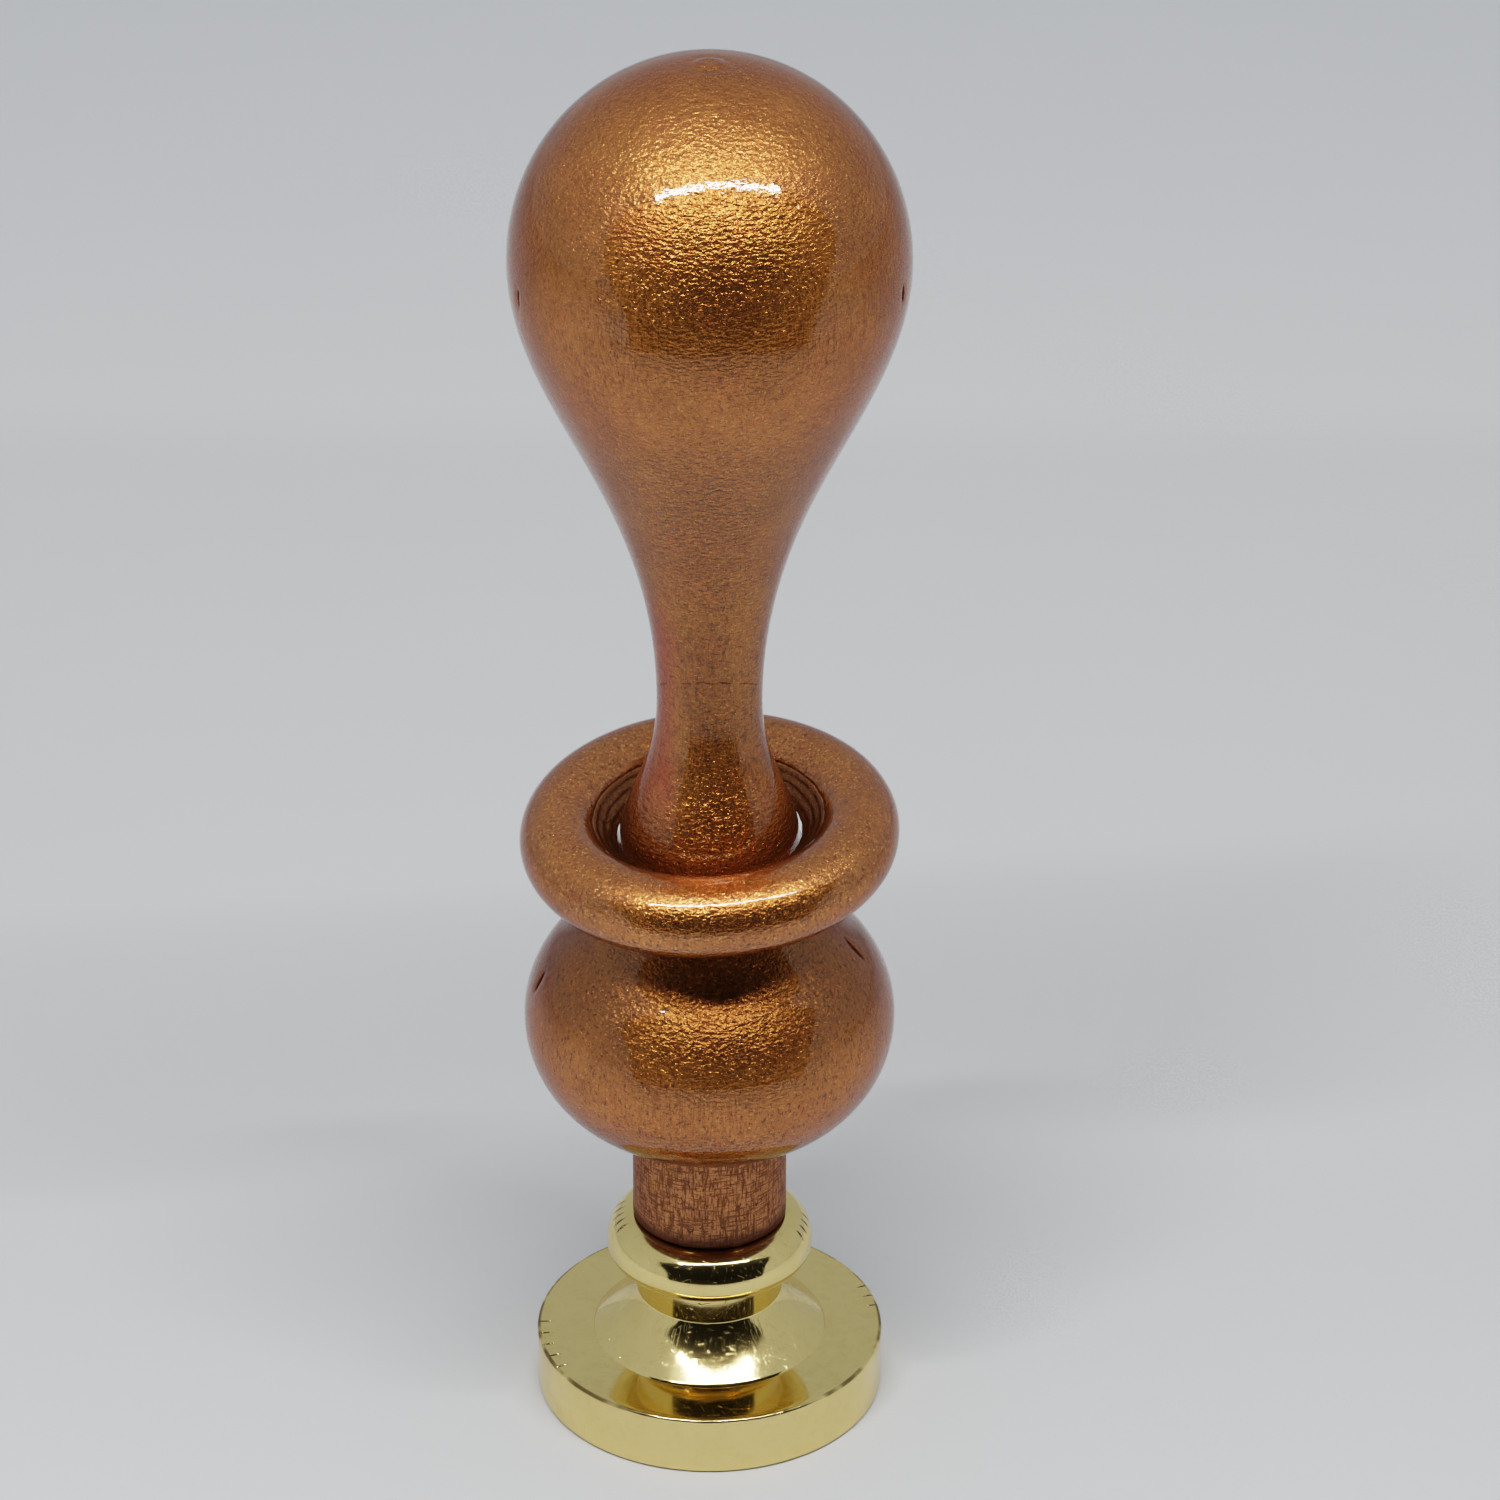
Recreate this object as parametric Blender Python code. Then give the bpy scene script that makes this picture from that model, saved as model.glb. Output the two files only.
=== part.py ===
"""Wax seal stamp: a turned wooden handle with a loose captive ring, on a turned brass seal head.

Metres, +Z up along the stamp's axis. The origin is the centre of the seal face, on the table.
The handle unscrews from the head on a hidden hanger bolt, and the ring slides on the handle's waist.
"""

import bmesh
import bpy
from math import atan2, cos, pi, radians, sin, tau

MM = 0.001
GAP = 0.3 * MM  # kept between pieces that touch on the real object

# Seal head: an engraved disc, a concave bell, a short neck and a bead, turned in one.
DISC_RADIUS = 12.5 * MM
DISC_HEIGHT = 4.44 * MM
DISC_EDGE = 0.15 * MM
BELL_RADIUS = 8.3 * MM
BELL_FOOT = 4.6 * MM
NECK_RADIUS = 5.2 * MM
NECK_BOTTOM = 7.8 * MM
BELL_TOP_SLOPE = radians(28)
BELL_TOP_PULL = 1.8 * MM
BELL_FOOT_SLOPE = radians(78)
BELL_FOOT_PULL = 1.0 * MM
BELL_LEDGE = 0.1 * MM
BEAD_CENTRE = (5.4 * MM, 11.8 * MM)
BEAD_HALF_WIDTH = 2.0 * MM
BEAD_ABOVE = 2.4 * MM
BEAD_BELOW = 1.45 * MM
HEAD_HEIGHT = BEAD_CENTRE[1] + BEAD_ABOVE

# Engraving in the seal face: a border line round a six-petal rosette.
BORDER_INNER = 10.2 * MM
BORDER_OUTER = 10.8 * MM
BORDER_DEPTH = 0.5 * MM
PETAL_COUNT = 6
PETAL_FROM = 1.4 * MM
PETAL_TO = 8.4 * MM
PETAL_HALF_WIDTH = 1.5 * MM
PETAL_DEPTH = 0.6 * MM

# Hanger bolt: a machine thread in the head's socket, a wood-screw thread in the handle.
THREAD_PITCH = 1.0 * MM
THREAD_TURNS = 8
BOLT_RADIUS = 3.0 * MM
BOLT_ROOT = 2.5 * MM
SCREW_RADIUS = 2.6 * MM
SCREW_ROOT = 1.9 * MM
SCREW_PITCH = 2.0 * MM
SCREW_TURNS = 7
SCREW_POINT = 2.5 * MM
BOLT_BOTTOM = HEAD_HEIGHT - THREAD_TURNS * THREAD_PITCH

# Handle: collar, bulb, flare, waist and teardrop grip, turned from one blank.
# A pull is how far a curve runs straight on from a point before it bends.
COLLAR_RADIUS = 5.5 * MM
COLLAR_BOTTOM = HEAD_HEIGHT + GAP
COLLAR_CHAMFER = 0.2 * MM
BULB_CENTRE = (4.53 * MM, 30.8 * MM)
BULB_SECTION = 8.53 * MM
BULB_TOP_ANGLE = radians(45)
BULB_PULL = 4.0 * MM
FLARE_RADIUS = 5.93 * MM
FLARE_HEIGHT = 45.0 * MM
FLARE_SLOPE = radians(11.4)
FLARE_PULL_UP = 3.45 * MM
FLARE_PULL_DOWN = 1.0 * MM
WAIST_RADIUS = 3.64 * MM
WAIST_HEIGHT = 55.8 * MM
WAIST_PULL_UP = 16.0 * MM
WAIST_PULL_DOWN = 4.3 * MM
GRIP_RADIUS = 13.4 * MM
GRIP_HEIGHT = 88.5 * MM
GRIP_CROWN = 13.9 * MM
GRIP_PULL = 9.6 * MM

# Captive ring: cut free of the same blank from both sides, which leaves a ridge inside it.
RING_HEIGHT = 45.3 * MM
RING_TILT = (radians(4.3), radians(-2.5))
RING_MEAN = 10.4 * MM
RING_SECTION = 2.8 * MM
RING_RIDGE = 6.43 * MM
RING_CREASE_ANGLE = radians(148)

HEAD_STEPS = 64
HANDLE_STEPS = 48
RING_STEPS = 48
BOLT_STEPS = 16
SHARP_ANGLE = radians(32)


def arc(centre, half_width, half_height, start, end, count):
    """Points (radius, height) on an ellipse about centre, from angle start to end."""
    angles = [start + (end - start) * i / count for i in range(count + 1)]
    return [(centre[0] + half_width * cos(a), centre[1] + half_height * sin(a)) for a in angles]


def bezier(start, start_handle, end_handle, end, count):
    """Points (radius, height) on a cubic curve."""
    points = []
    for i in range(count + 1):
        t = i / count
        weights = ((1 - t) ** 3, 3 * t * (1 - t) ** 2, 3 * t * t * (1 - t), t**3)
        ends = (start, start_handle, end_handle, end)
        points.append(tuple(sum(w * p[axis] for w, p in zip(weights, ends)) for axis in (0, 1)))
    return points


def along(point, slope, distance):
    """The point at a distance down a wall that leans out by slope as it goes down."""
    return (point[0] + distance * sin(slope), point[1] - distance * cos(slope))


def material(name, colour, metallic, roughness):
    made = bpy.data.materials.new(name)
    made.use_nodes = True
    shader = made.node_tree.nodes["Principled BSDF"]
    shader.inputs["Base Color"].default_value = (*colour, 1)
    shader.inputs["Metallic"].default_value = metallic
    shader.inputs["Roughness"].default_value = roughness
    return made


def add_object(name, bm, finish=None):
    bmesh.ops.remove_doubles(bm, verts=bm.verts, dist=1e-6)
    bmesh.ops.recalc_face_normals(bm, faces=bm.faces)
    mesh = bpy.data.meshes.new(name)
    bm.to_mesh(mesh)
    bm.free()
    mesh.shade_smooth()
    mesh.set_sharp_from_angle(angle=SHARP_ANGLE)
    obj = bpy.data.objects.new(name, mesh)
    if finish:
        mesh.materials.append(finish)
    bpy.context.scene.collection.objects.link(obj)
    return obj


def turned(name, outline, steps, finish, closed=False):
    """The solid swept by an outline of (radius, height) points about Z."""
    bm = bmesh.new()
    verts = [bm.verts.new((radius, 0, height)) for radius, height in outline]
    pairs = list(zip(verts, verts[1:]))
    if closed:
        pairs.append((verts[-1], verts[0]))
    edges = [bm.edges.new(pair) for pair in pairs]
    bmesh.ops.spin(
        bm, geom=verts + edges, cent=(0, 0, 0), axis=(0, 0, 1), angle=tau, steps=steps, use_merge=True
    )
    return add_object(name, bm, finish)


def thread(radius, root, top, pitch, turns):
    """A thread's outline as ridges, from its top to its bottom."""
    points = []
    for turn in range(turns):
        height = top - pitch * turn
        points += [(root, height), (radius, height - pitch / 2)]
    return points + [(root, top - pitch * turns)]


def petal_cutter():
    """Leaf-shaped prisms round the axis, which cut the rosette."""
    bm = bmesh.new()
    sides = 8
    for petal in range(PETAL_COUNT):
        turn = tau * petal / PETAL_COUNT
        leaf = []
        for i in range(2 * sides):
            share = i / sides
            reach = PETAL_FROM + (PETAL_TO - PETAL_FROM) * (share if share <= 1 else 2 - share)
            leaf.append((reach, PETAL_HALF_WIDTH * sin(pi * share)))
        base = [
            bm.verts.new((x * cos(turn) - y * sin(turn), x * sin(turn) + y * cos(turn), -MM))
            for x, y in leaf
        ]
        raised = bmesh.ops.extrude_face_region(bm, geom=[bm.faces.new(base)])["geom"]
        tops = [item for item in raised if isinstance(item, bmesh.types.BMVert)]
        bmesh.ops.translate(bm, verts=tops, vec=(0, 0, MM + PETAL_DEPTH))
    cutter = add_object("petal_cutter", bm)
    cutter.hide_render = True
    cutter.display_type = "WIRE"
    return cutter


def bell_outline():
    """The concave bell, from the neck down to its thin foot on the disc."""
    top = (NECK_RADIUS, NECK_BOTTOM)
    foot = (BELL_RADIUS, BELL_FOOT)
    top_handle = along(top, BELL_TOP_SLOPE, BELL_TOP_PULL)
    foot_handle = along(foot, BELL_FOOT_SLOPE, -BELL_FOOT_PULL)
    return bezier(top, top_handle, foot_handle, foot, 8) + [(BELL_RADIUS + BELL_LEDGE, DISC_HEIGHT)]


def add_seal_head(brass):
    socket_radius = BOLT_RADIUS + GAP
    socket_floor = BOLT_BOTTOM - 2 * GAP
    bead = arc(BEAD_CENTRE, BEAD_HALF_WIDTH, BEAD_ABOVE, pi / 2, 0, 5)
    bead += arc(BEAD_CENTRE, BEAD_HALF_WIDTH, BEAD_BELOW, 0, -pi / 2, 4)[1:]
    outline = [(0, socket_floor), (socket_radius, socket_floor)]
    outline += [(socket_radius, HEAD_HEIGHT - GAP), (socket_radius + GAP, HEAD_HEIGHT)]
    outline += bead + [(NECK_RADIUS, BEAD_CENTRE[1] - BEAD_BELOW)] + bell_outline()
    outline += [(DISC_RADIUS - DISC_EDGE, DISC_HEIGHT), (DISC_RADIUS, DISC_HEIGHT - DISC_EDGE)]
    outline += [(DISC_RADIUS, DISC_EDGE), (DISC_RADIUS - DISC_EDGE, 0)]
    outline += [(BORDER_OUTER, 0), (BORDER_OUTER, BORDER_DEPTH)]
    outline += [(BORDER_INNER, BORDER_DEPTH), (BORDER_INNER, 0), (0, 0)]
    head = turned("seal_head", outline, HEAD_STEPS, brass)
    cut = head.modifiers.new("rosette", "BOOLEAN")
    cut.operation = "DIFFERENCE"
    cut.object = petal_cutter()
    return head


def add_hanger_bolt(steel):
    screw_top = COLLAR_BOTTOM + SCREW_TURNS * SCREW_PITCH
    outline = [(0, screw_top + SCREW_POINT)]
    outline += thread(SCREW_RADIUS, SCREW_ROOT, screw_top, SCREW_PITCH, SCREW_TURNS)
    outline += thread(BOLT_RADIUS, BOLT_ROOT, HEAD_HEIGHT, THREAD_PITCH, THREAD_TURNS)
    outline.append((0, BOLT_BOTTOM))
    return turned("hanger_bolt", outline, BOLT_STEPS, steel)


def handle_outline():
    """The handle from its crown down to the collar, then up the pilot hole for the bolt."""
    grip = (GRIP_RADIUS, GRIP_HEIGHT)
    waist = (WAIST_RADIUS, WAIST_HEIGHT)
    flare = (FLARE_RADIUS, FLARE_HEIGHT)
    collar_angle = -pi / 2 + atan2(COLLAR_RADIUS - BULB_CENTRE[0], BULB_SECTION)

    crown = arc((0, GRIP_HEIGHT), GRIP_RADIUS, GRIP_CROWN, pi / 2, 0, 11)
    flank = bezier(grip, along(grip, 0, GRIP_PULL), along(waist, 0, -WAIST_PULL_UP), waist, 13)
    flare_top = along(flare, FLARE_SLOPE, -FLARE_PULL_UP)
    stem = bezier(waist, along(waist, 0, WAIST_PULL_DOWN), flare_top, flare, 7)
    belly = arc(BULB_CENTRE, BULB_SECTION, BULB_SECTION, BULB_TOP_ANGLE, collar_angle, 12)
    belly[-1] = (COLLAR_RADIUS, belly[-1][1])
    bulb_top = along(belly[0], BULB_TOP_ANGLE, -BULB_PULL)
    seat = bezier(flare, along(flare, FLARE_SLOPE, FLARE_PULL_DOWN), bulb_top, belly[0], 5)

    bore = SCREW_RADIUS + GAP
    bore_top = COLLAR_BOTTOM + SCREW_TURNS * SCREW_PITCH + GAP
    collar = [
        (COLLAR_RADIUS, COLLAR_BOTTOM + COLLAR_CHAMFER),
        (COLLAR_RADIUS - COLLAR_CHAMFER, COLLAR_BOTTOM),
    ]
    pilot = [(bore, COLLAR_BOTTOM), (bore, bore_top), (0, bore_top + SCREW_POINT + GAP)]
    return crown + flank[1:] + stem[1:] + seat[1:] + belly[1:] + collar + pilot


def add_captive_ring(lacquer, handle):
    """The ring, tilted as it hangs on the flare, with a ridge inside where the two cuts met."""
    section = (RING_SECTION, RING_SECTION)
    outline = arc((RING_MEAN, 0), *section, RING_CREASE_ANGLE, -RING_CREASE_ANGLE, 14)
    outline.append((RING_RIDGE, 0))
    ring = turned("captive_ring", outline, RING_STEPS, lacquer, closed=True)
    ring.location = (0, 0, RING_HEIGHT)
    ring.rotation_euler = (*RING_TILT, 0)
    ring.parent = handle
    return ring


def main():
    for obj in list(bpy.data.objects):
        bpy.data.objects.remove(obj, do_unlink=True)
    brass = material("polished_brass", (0.74, 0.58, 0.28), 1.0, 0.16)
    steel = material("zinc_plated_steel", (0.55, 0.55, 0.56), 1.0, 0.35)
    lacquer = material("copper_lacquer", (0.50, 0.20, 0.06), 0.6, 0.32)
    add_seal_head(brass)
    bolt = add_hanger_bolt(steel)
    handle = turned("handle", handle_outline(), HANDLE_STEPS, lacquer)
    handle.parent = bolt
    add_captive_ring(lacquer, handle)


main()
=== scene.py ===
"""Looks of the wax seal stamp: a copper-lacquered handle and its loose ring, on a polished brass head.

Every piece is turned from its CAD solid's outline, with rounder edges and finer detail, and with up to
0.6 mm of difference at the flare's foot and the bell, where the photograph's highlights ask for it.
Lengths are in metres, and angles round the stamp are measured from the front (-Y) towards +X.
"""

from math import atan2, cos, exp, hypot, pi, radians, sin, tan, tau

import bpy
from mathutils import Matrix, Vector, noise


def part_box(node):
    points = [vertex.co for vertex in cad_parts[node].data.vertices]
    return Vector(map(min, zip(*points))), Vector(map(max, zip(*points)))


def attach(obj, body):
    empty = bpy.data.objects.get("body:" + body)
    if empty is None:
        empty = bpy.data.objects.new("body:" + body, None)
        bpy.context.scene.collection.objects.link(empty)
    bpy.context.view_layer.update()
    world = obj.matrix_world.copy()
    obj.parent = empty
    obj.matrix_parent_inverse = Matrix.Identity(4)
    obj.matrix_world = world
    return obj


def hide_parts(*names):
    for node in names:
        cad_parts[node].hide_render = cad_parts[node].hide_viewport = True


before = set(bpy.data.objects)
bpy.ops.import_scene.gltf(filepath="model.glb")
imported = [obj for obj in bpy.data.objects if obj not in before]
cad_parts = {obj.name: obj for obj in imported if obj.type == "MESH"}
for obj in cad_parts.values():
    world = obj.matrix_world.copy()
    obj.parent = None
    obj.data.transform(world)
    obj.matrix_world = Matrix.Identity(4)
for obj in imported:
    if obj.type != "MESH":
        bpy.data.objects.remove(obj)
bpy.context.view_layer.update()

MM = 0.001

_, head_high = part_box("seal_head")
handle_low, handle_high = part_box("handle")
bolt_low, bolt_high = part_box("hanger_bolt")
ring_low, ring_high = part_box("captive_ring")

# Seal head, from its CAD box and close to the CAD's own turned outline.
DISC_RADIUS = head_high.x
HEAD_TOP = head_high.z
DISC_TOP = 4.44 * MM
DISC_ROUND = 0.22 * MM
BELL_RADIUS = 8.3 * MM
BELL_FOOT = 4.57 * MM
BELL_TOP_SLOPE = radians(25)
BELL_TOP_PULL = 1.3 * MM
BELL_FOOT_SLOPE = radians(51)
BELL_FOOT_PULL = 1.6 * MM
NECK_RADIUS = 5.2 * MM
NECK_BOTTOM = 7.8 * MM
BEAD_ABOVE = 2.4 * MM
BEAD_BELOW = 1.45 * MM
BEAD_CENTRE = (5.4 * MM, HEAD_TOP - BEAD_ABOVE)
BEAD_HALF_WIDTH = 2.0 * MM

# Engraving in the seal face.
BORDER_INNER = 10.2 * MM
BORDER_OUTER = 10.8 * MM
BORDER_DEPTH = 0.5 * MM
PETAL_COUNT = 6
PETAL_FROM = 1.4 * MM
PETAL_TO = 8.4 * MM
PETAL_HALF_WIDTH = 1.5 * MM
PETAL_DEPTH = 0.6 * MM
VEIN_HALF_WIDTH = 0.16 * MM
VEIN_HEIGHT = 0.22 * MM

# Hanger bolt.
THREAD_PITCH = 1.0 * MM
BOLT_RADIUS = bolt_high.x
BOLT_ROOT = 2.5 * MM
SCREW_RADIUS = 2.6 * MM
SCREW_ROOT = 1.9 * MM
SCREW_PITCH = 2.0 * MM
SCREW_POINT = 2.5 * MM
SOCKET_RADIUS = BOLT_RADIUS + 0.08 * MM
SOCKET_GROOVE = 0.45 * MM
SOCKET_MOUTH = 0.35 * MM

# Handle.
COLLAR_RADIUS = 5.5 * MM
COLLAR_BOTTOM = handle_low.z - 0.22 * MM
COLLAR_ROUND = 0.25 * MM
BULB_CENTRE = (4.53 * MM, 30.8 * MM)
BULB_SECTION = 8.53 * MM
BULB_TOP_ANGLE = radians(45)
BULB_PULL = 4.1 * MM
FLARE_RADIUS = 6.12 * MM
FLARE_HEIGHT = 46.3 * MM
FLARE_SLOPE = radians(15)
FLARE_PULL_UP = 3.45 * MM
FLARE_PULL_DOWN = 0.8 * MM
FOOT_RADIUS = 6.66 * MM
FOOT_HEIGHT = 44.22 * MM
FOOT_SLOPE = radians(45)
FOOT_PULL = 0.9 * MM
WAIST_RADIUS = 3.64 * MM
WAIST_HEIGHT = 55.8 * MM
WAIST_PULL_UP = 16.0 * MM
WAIST_PULL_DOWN = 4.3 * MM
GRIP_CROWN = 13.9 * MM
GRIP_RADIUS = handle_high.x
GRIP_HEIGHT = handle_high.z - GRIP_CROWN
GRIP_PULL = 9.6 * MM
PIP_RADIUS = 1.1 * MM
PIP_HEIGHT = 0.12 * MM

# Captive ring, tilted as it hangs, just clear of the flare.
RING_HEIGHT = (ring_low.z + ring_high.z) / 2
RING_TILT = (radians(4.3), radians(-2.5))
RING_MEAN = 10.4 * MM
RING_SECTION = 2.8 * MM
RING_RIDGE = 6.43 * MM
RING_CREASE_ANGLE = radians(148)

# Studio: the object stands in a light tent whose open front is dark, with a bar of small lamps above it.
TENT_BRIGHTNESS = 0.52
OPENING_AZIMUTH = radians(7.5)
FLOOR_EDGE = 165 * MM
FLOOR_HEIGHT = -0.05 * MM
BAR_DISTANCE = 150 * MM
BAR_HEIGHT = 347 * MM
BAR_HALF_LENGTH = 199 * MM
LAMPS = 30
LAMP_WIDTH = 8 * MM
LAMP_HEIGHT = 14 * MM
LAMP_LEAN = 0.40
LAMP_SPREAD = 0.7
LAMP_STRENGTH = 150

DARK_ROOM = (0.03, 0.028, 0.025)
LAMP_COLOUR = (1.0, 0.985, 0.96)
TENT_COLOUR = (0.92, 0.965, 1.0)

# The tent is brighter towards the front: between which Y of a direction, and from what share to what.
TENT_FADE = (-0.4, 0.8, 1.06, 0.84)

# The floor's paper, with painted light and shade: its colour under and behind the object, lighter towards
# the camera and far behind, and its blotches.
PAPER = (0.555, 0.567, 0.588)
PAPER_LIT_NEAR = (0.67, 0.684, 0.71)
PAPER_LIT_FAR = (0.605, 0.617, 0.64)
PAPER_BLOTCH = (0.72, 0.73, 0.75)
NEAR_PLACES = (25 * MM, -45 * MM)
FAR_PLACES = (150 * MM, 168 * MM)
FLOOR_REACH = 1.5

CAMERA_LENS = 139.2
CAMERA_SHIFT = 0.027
CAMERA_PLACE = (0, -0.350, 0.24342)
CAMERA_DIP = 28.70

# The camera's response to light: contrast, the brightness it leaves alone, and where it reaches white.
RESPONSE_CONTRAST = 1.35
RESPONSE_MIDDLE = 0.5
RESPONSE_WHITE = 4.0
RESPONSE_PEAK = 1.04
RESPONSE_POINTS = (0.02, 0.05, 0.1, 0.18, 0.3, 0.42, 0.55, 0.75, 1.0, 1.4, 2.0, 3.0)


# ---------------------------------------------------------------- outlines

def arc(centre, half_width, half_height, start, end, count):
    """Points (radius, height) on an ellipse about centre, from angle start to end."""
    angles = [start + (end - start) * i / count for i in range(count + 1)]
    return [(centre[0] + half_width * cos(a), centre[1] + half_height * sin(a)) for a in angles]


def bezier(start, start_handle, end_handle, end, count):
    """Points (radius, height) on a cubic curve."""
    points = []
    for i in range(count + 1):
        t = i / count
        weights = ((1 - t) ** 3, 3 * t * (1 - t) ** 2, 3 * t * t * (1 - t), t**3)
        ends = (start, start_handle, end_handle, end)
        points.append(tuple(sum(w * p[axis] for w, p in zip(weights, ends)) for axis in (0, 1)))
    return points


def line(start, end, count):
    """Evenly spaced points from start to end."""
    shares = [i / count for i in range(count + 1)]
    return [tuple(a + (b - a) * share for a, b in zip(start, end)) for share in shares]


def along(point, slope, distance):
    """The point at a distance down a wall that leans out by slope as it goes down."""
    return (point[0] + distance * sin(slope), point[1] - distance * cos(slope))


def smooth(low, high, value):
    """0 below low, 1 above high, with a smooth rise between."""
    share = min(1.0, max(0.0, (value - low) / (high - low)))
    return share * share * (3 - 2 * share)


def joined(*runs):
    """One outline from several that meet end to end."""
    points = list(runs[0])
    for run in runs[1:]:
        points += [p for p in run if hypot(p[0] - points[-1][0], p[1] - points[-1][1]) > 1e-7]
    return points


# ---------------------------------------------------------------- meshes

def turned(name, outline, steps, relief=None, closed=False):
    """A mesh swept by an outline about Z.

    relief(angle, radius, height) gives each point's own (radius, height).
    An end of the outline on the axis becomes a single vertex. The sweep starts at the back.
    """
    verts, rows, faces = [], [], []
    for radius, height in outline:
        if radius < 1e-7:
            rows.append([len(verts)])
            verts.append((0, 0, height))
            continue
        row = []
        for step in range(steps):
            angle = pi + tau * step / steps
            r, z = relief(angle, radius, height) if relief else (radius, height)
            row.append(len(verts))
            verts.append((r * sin(angle), -r * cos(angle), z))
        rows.append(row)
    pairs = list(zip(rows, rows[1:]))
    if closed:
        pairs.append((rows[-1], rows[0]))
    for upper, lower in pairs:
        for step in range(steps):
            after = (step + 1) % steps
            corners = [lower[step % len(lower)], lower[after % len(lower)]]
            corners += [upper[after % len(upper)], upper[step % len(upper)]]
            faces.append([v for i, v in enumerate(corners) if v not in corners[:i]])
    mesh = bpy.data.meshes.new(name)
    mesh.from_pydata(verts, [], faces)
    mesh.update()
    mesh.shade_smooth()
    mesh.set_sharp_from_angle(angle=radians(50))
    obj = bpy.data.objects.new(name, mesh)
    bpy.context.scene.collection.objects.link(obj)
    return obj


def dent(angle, position, at_angle, at_position, half_width, half_height, radius):
    """How deep a point is in a dent, from 0 outside to 1 in the middle."""
    across = ((angle - at_angle + pi) % tau - pi) * radius / half_width
    up = (position - at_position) / half_height
    return max(0.0, 1 - across * across - up * up)


# ---------------------------------------------------------------- seal head

def bell_outline():
    top = (NECK_RADIUS, NECK_BOTTOM)
    foot = (BELL_RADIUS, BELL_FOOT)
    top_handle = along(top, BELL_TOP_SLOPE, BELL_TOP_PULL)
    foot_handle = along(foot, BELL_FOOT_SLOPE, -BELL_FOOT_PULL)
    return bezier(top, top_handle, foot_handle, foot, 36)


def petal_depth(angle, radius):
    """Depth of the rosette at a point of the seal face: leaves with steep sides and a raised vein."""
    if not PETAL_FROM < radius < PETAL_TO:
        return 0.0
    pitch = tau / PETAL_COUNT
    off_centre = abs((angle + pi / 2 + pitch / 2) % pitch - pitch / 2) * radius
    share = (radius - PETAL_FROM) / (PETAL_TO - PETAL_FROM)
    half_width = PETAL_HALF_WIDTH * sin(pi * share)
    inside = smooth(0, 0.32 * MM, half_width - off_centre)
    vein = VEIN_HEIGHT * exp(-((off_centre / VEIN_HALF_WIDTH) ** 2))
    return inside * (PETAL_DEPTH - vein)


def head_relief(angle, radius, height):
    if height < 0.01 * MM and radius < BORDER_INNER:
        return radius, petal_depth(angle, radius)
    if radius < BOLT_RADIUS + 0.2 * MM and height > bolt_low.z:
        turns = height / THREAD_PITCH - angle / tau
        groove = SOCKET_GROOVE * abs((turns % 1) * 2 - 1) * smooth(0, 0.8 * MM, HEAD_TOP - height)
        return radius + groove, height
    return radius, height


def make_seal_head():
    socket_floor = bolt_low.z - 0.6 * MM
    socket_top = (SOCKET_RADIUS, HEAD_TOP - SOCKET_MOUTH)
    mouth = (SOCKET_RADIUS + SOCKET_MOUTH, HEAD_TOP)
    disc_corner = (DISC_RADIUS - DISC_ROUND, DISC_TOP - DISC_ROUND)
    face_corner = (DISC_RADIUS - DISC_ROUND, DISC_ROUND)
    relief_cut = 0.06 * MM
    neck_top = BEAD_CENTRE[1] - BEAD_BELOW
    outline = joined(
        line((0, socket_floor), (SOCKET_RADIUS, socket_floor), 3),
        line((SOCKET_RADIUS, socket_floor), socket_top, 64),
        [mouth],
        arc(BEAD_CENTRE, BEAD_HALF_WIDTH, BEAD_ABOVE, pi / 2, 0, 26),
        arc(BEAD_CENTRE, BEAD_HALF_WIDTH, BEAD_BELOW, 0, -pi / 2, 20),
        line((NECK_RADIUS + relief_cut, neck_top), (NECK_RADIUS, neck_top - relief_cut), 1),
        line((NECK_RADIUS, neck_top - relief_cut), (NECK_RADIUS, NECK_BOTTOM + 0.05 * MM), 4),
        bell_outline(),
        line((BELL_RADIUS + 0.05 * MM, BELL_FOOT - relief_cut), (BELL_RADIUS + 0.1 * MM, DISC_TOP), 1),
        line((BELL_RADIUS + 0.15 * MM, DISC_TOP), (DISC_RADIUS - DISC_ROUND, DISC_TOP), 10),
        arc(disc_corner, DISC_ROUND, DISC_ROUND, pi / 2, 0, 5),
        line((DISC_RADIUS, DISC_TOP - DISC_ROUND), (DISC_RADIUS, DISC_ROUND), 10),
        arc(face_corner, DISC_ROUND, DISC_ROUND, 0, -pi / 2, 5),
        line((DISC_RADIUS - DISC_ROUND, 0), (BORDER_OUTER, 0), 3),
        line((BORDER_OUTER - relief_cut, BORDER_DEPTH), (BORDER_INNER + relief_cut, BORDER_DEPTH), 2),
        line((BORDER_INNER, 0), (PETAL_TO, 0), 4),
        line((PETAL_TO, 0), (PETAL_FROM, 0), 52),
        line((PETAL_FROM, 0), (0, 0), 4),
    )
    head = turned("turned_brass_head", outline, 288, head_relief)
    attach(head, "seal_head")
    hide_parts("seal_head")
    return head


# ---------------------------------------------------------------- hanger bolt

def bolt_relief(angle, radius, height):
    """A real helix: the ridge climbs one pitch each turn, and fades out at the bolt's ends."""
    if height < HEAD_TOP:
        pitch, root, crest, low, high = THREAD_PITCH, BOLT_ROOT, BOLT_RADIUS, bolt_low.z, HEAD_TOP
    else:
        pitch, root, crest, low, high = SCREW_PITCH, SCREW_ROOT, SCREW_RADIUS, HEAD_TOP, bolt_high.z
    turns = height / pitch - angle / tau
    ridge = abs((turns % 1) * 2 - 1)
    ridge *= smooth(0, pitch, height - low) * smooth(0, pitch, high - height)
    return min(radius, root) + (crest - root) * ridge * (1 if radius >= root else 0), height


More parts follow.
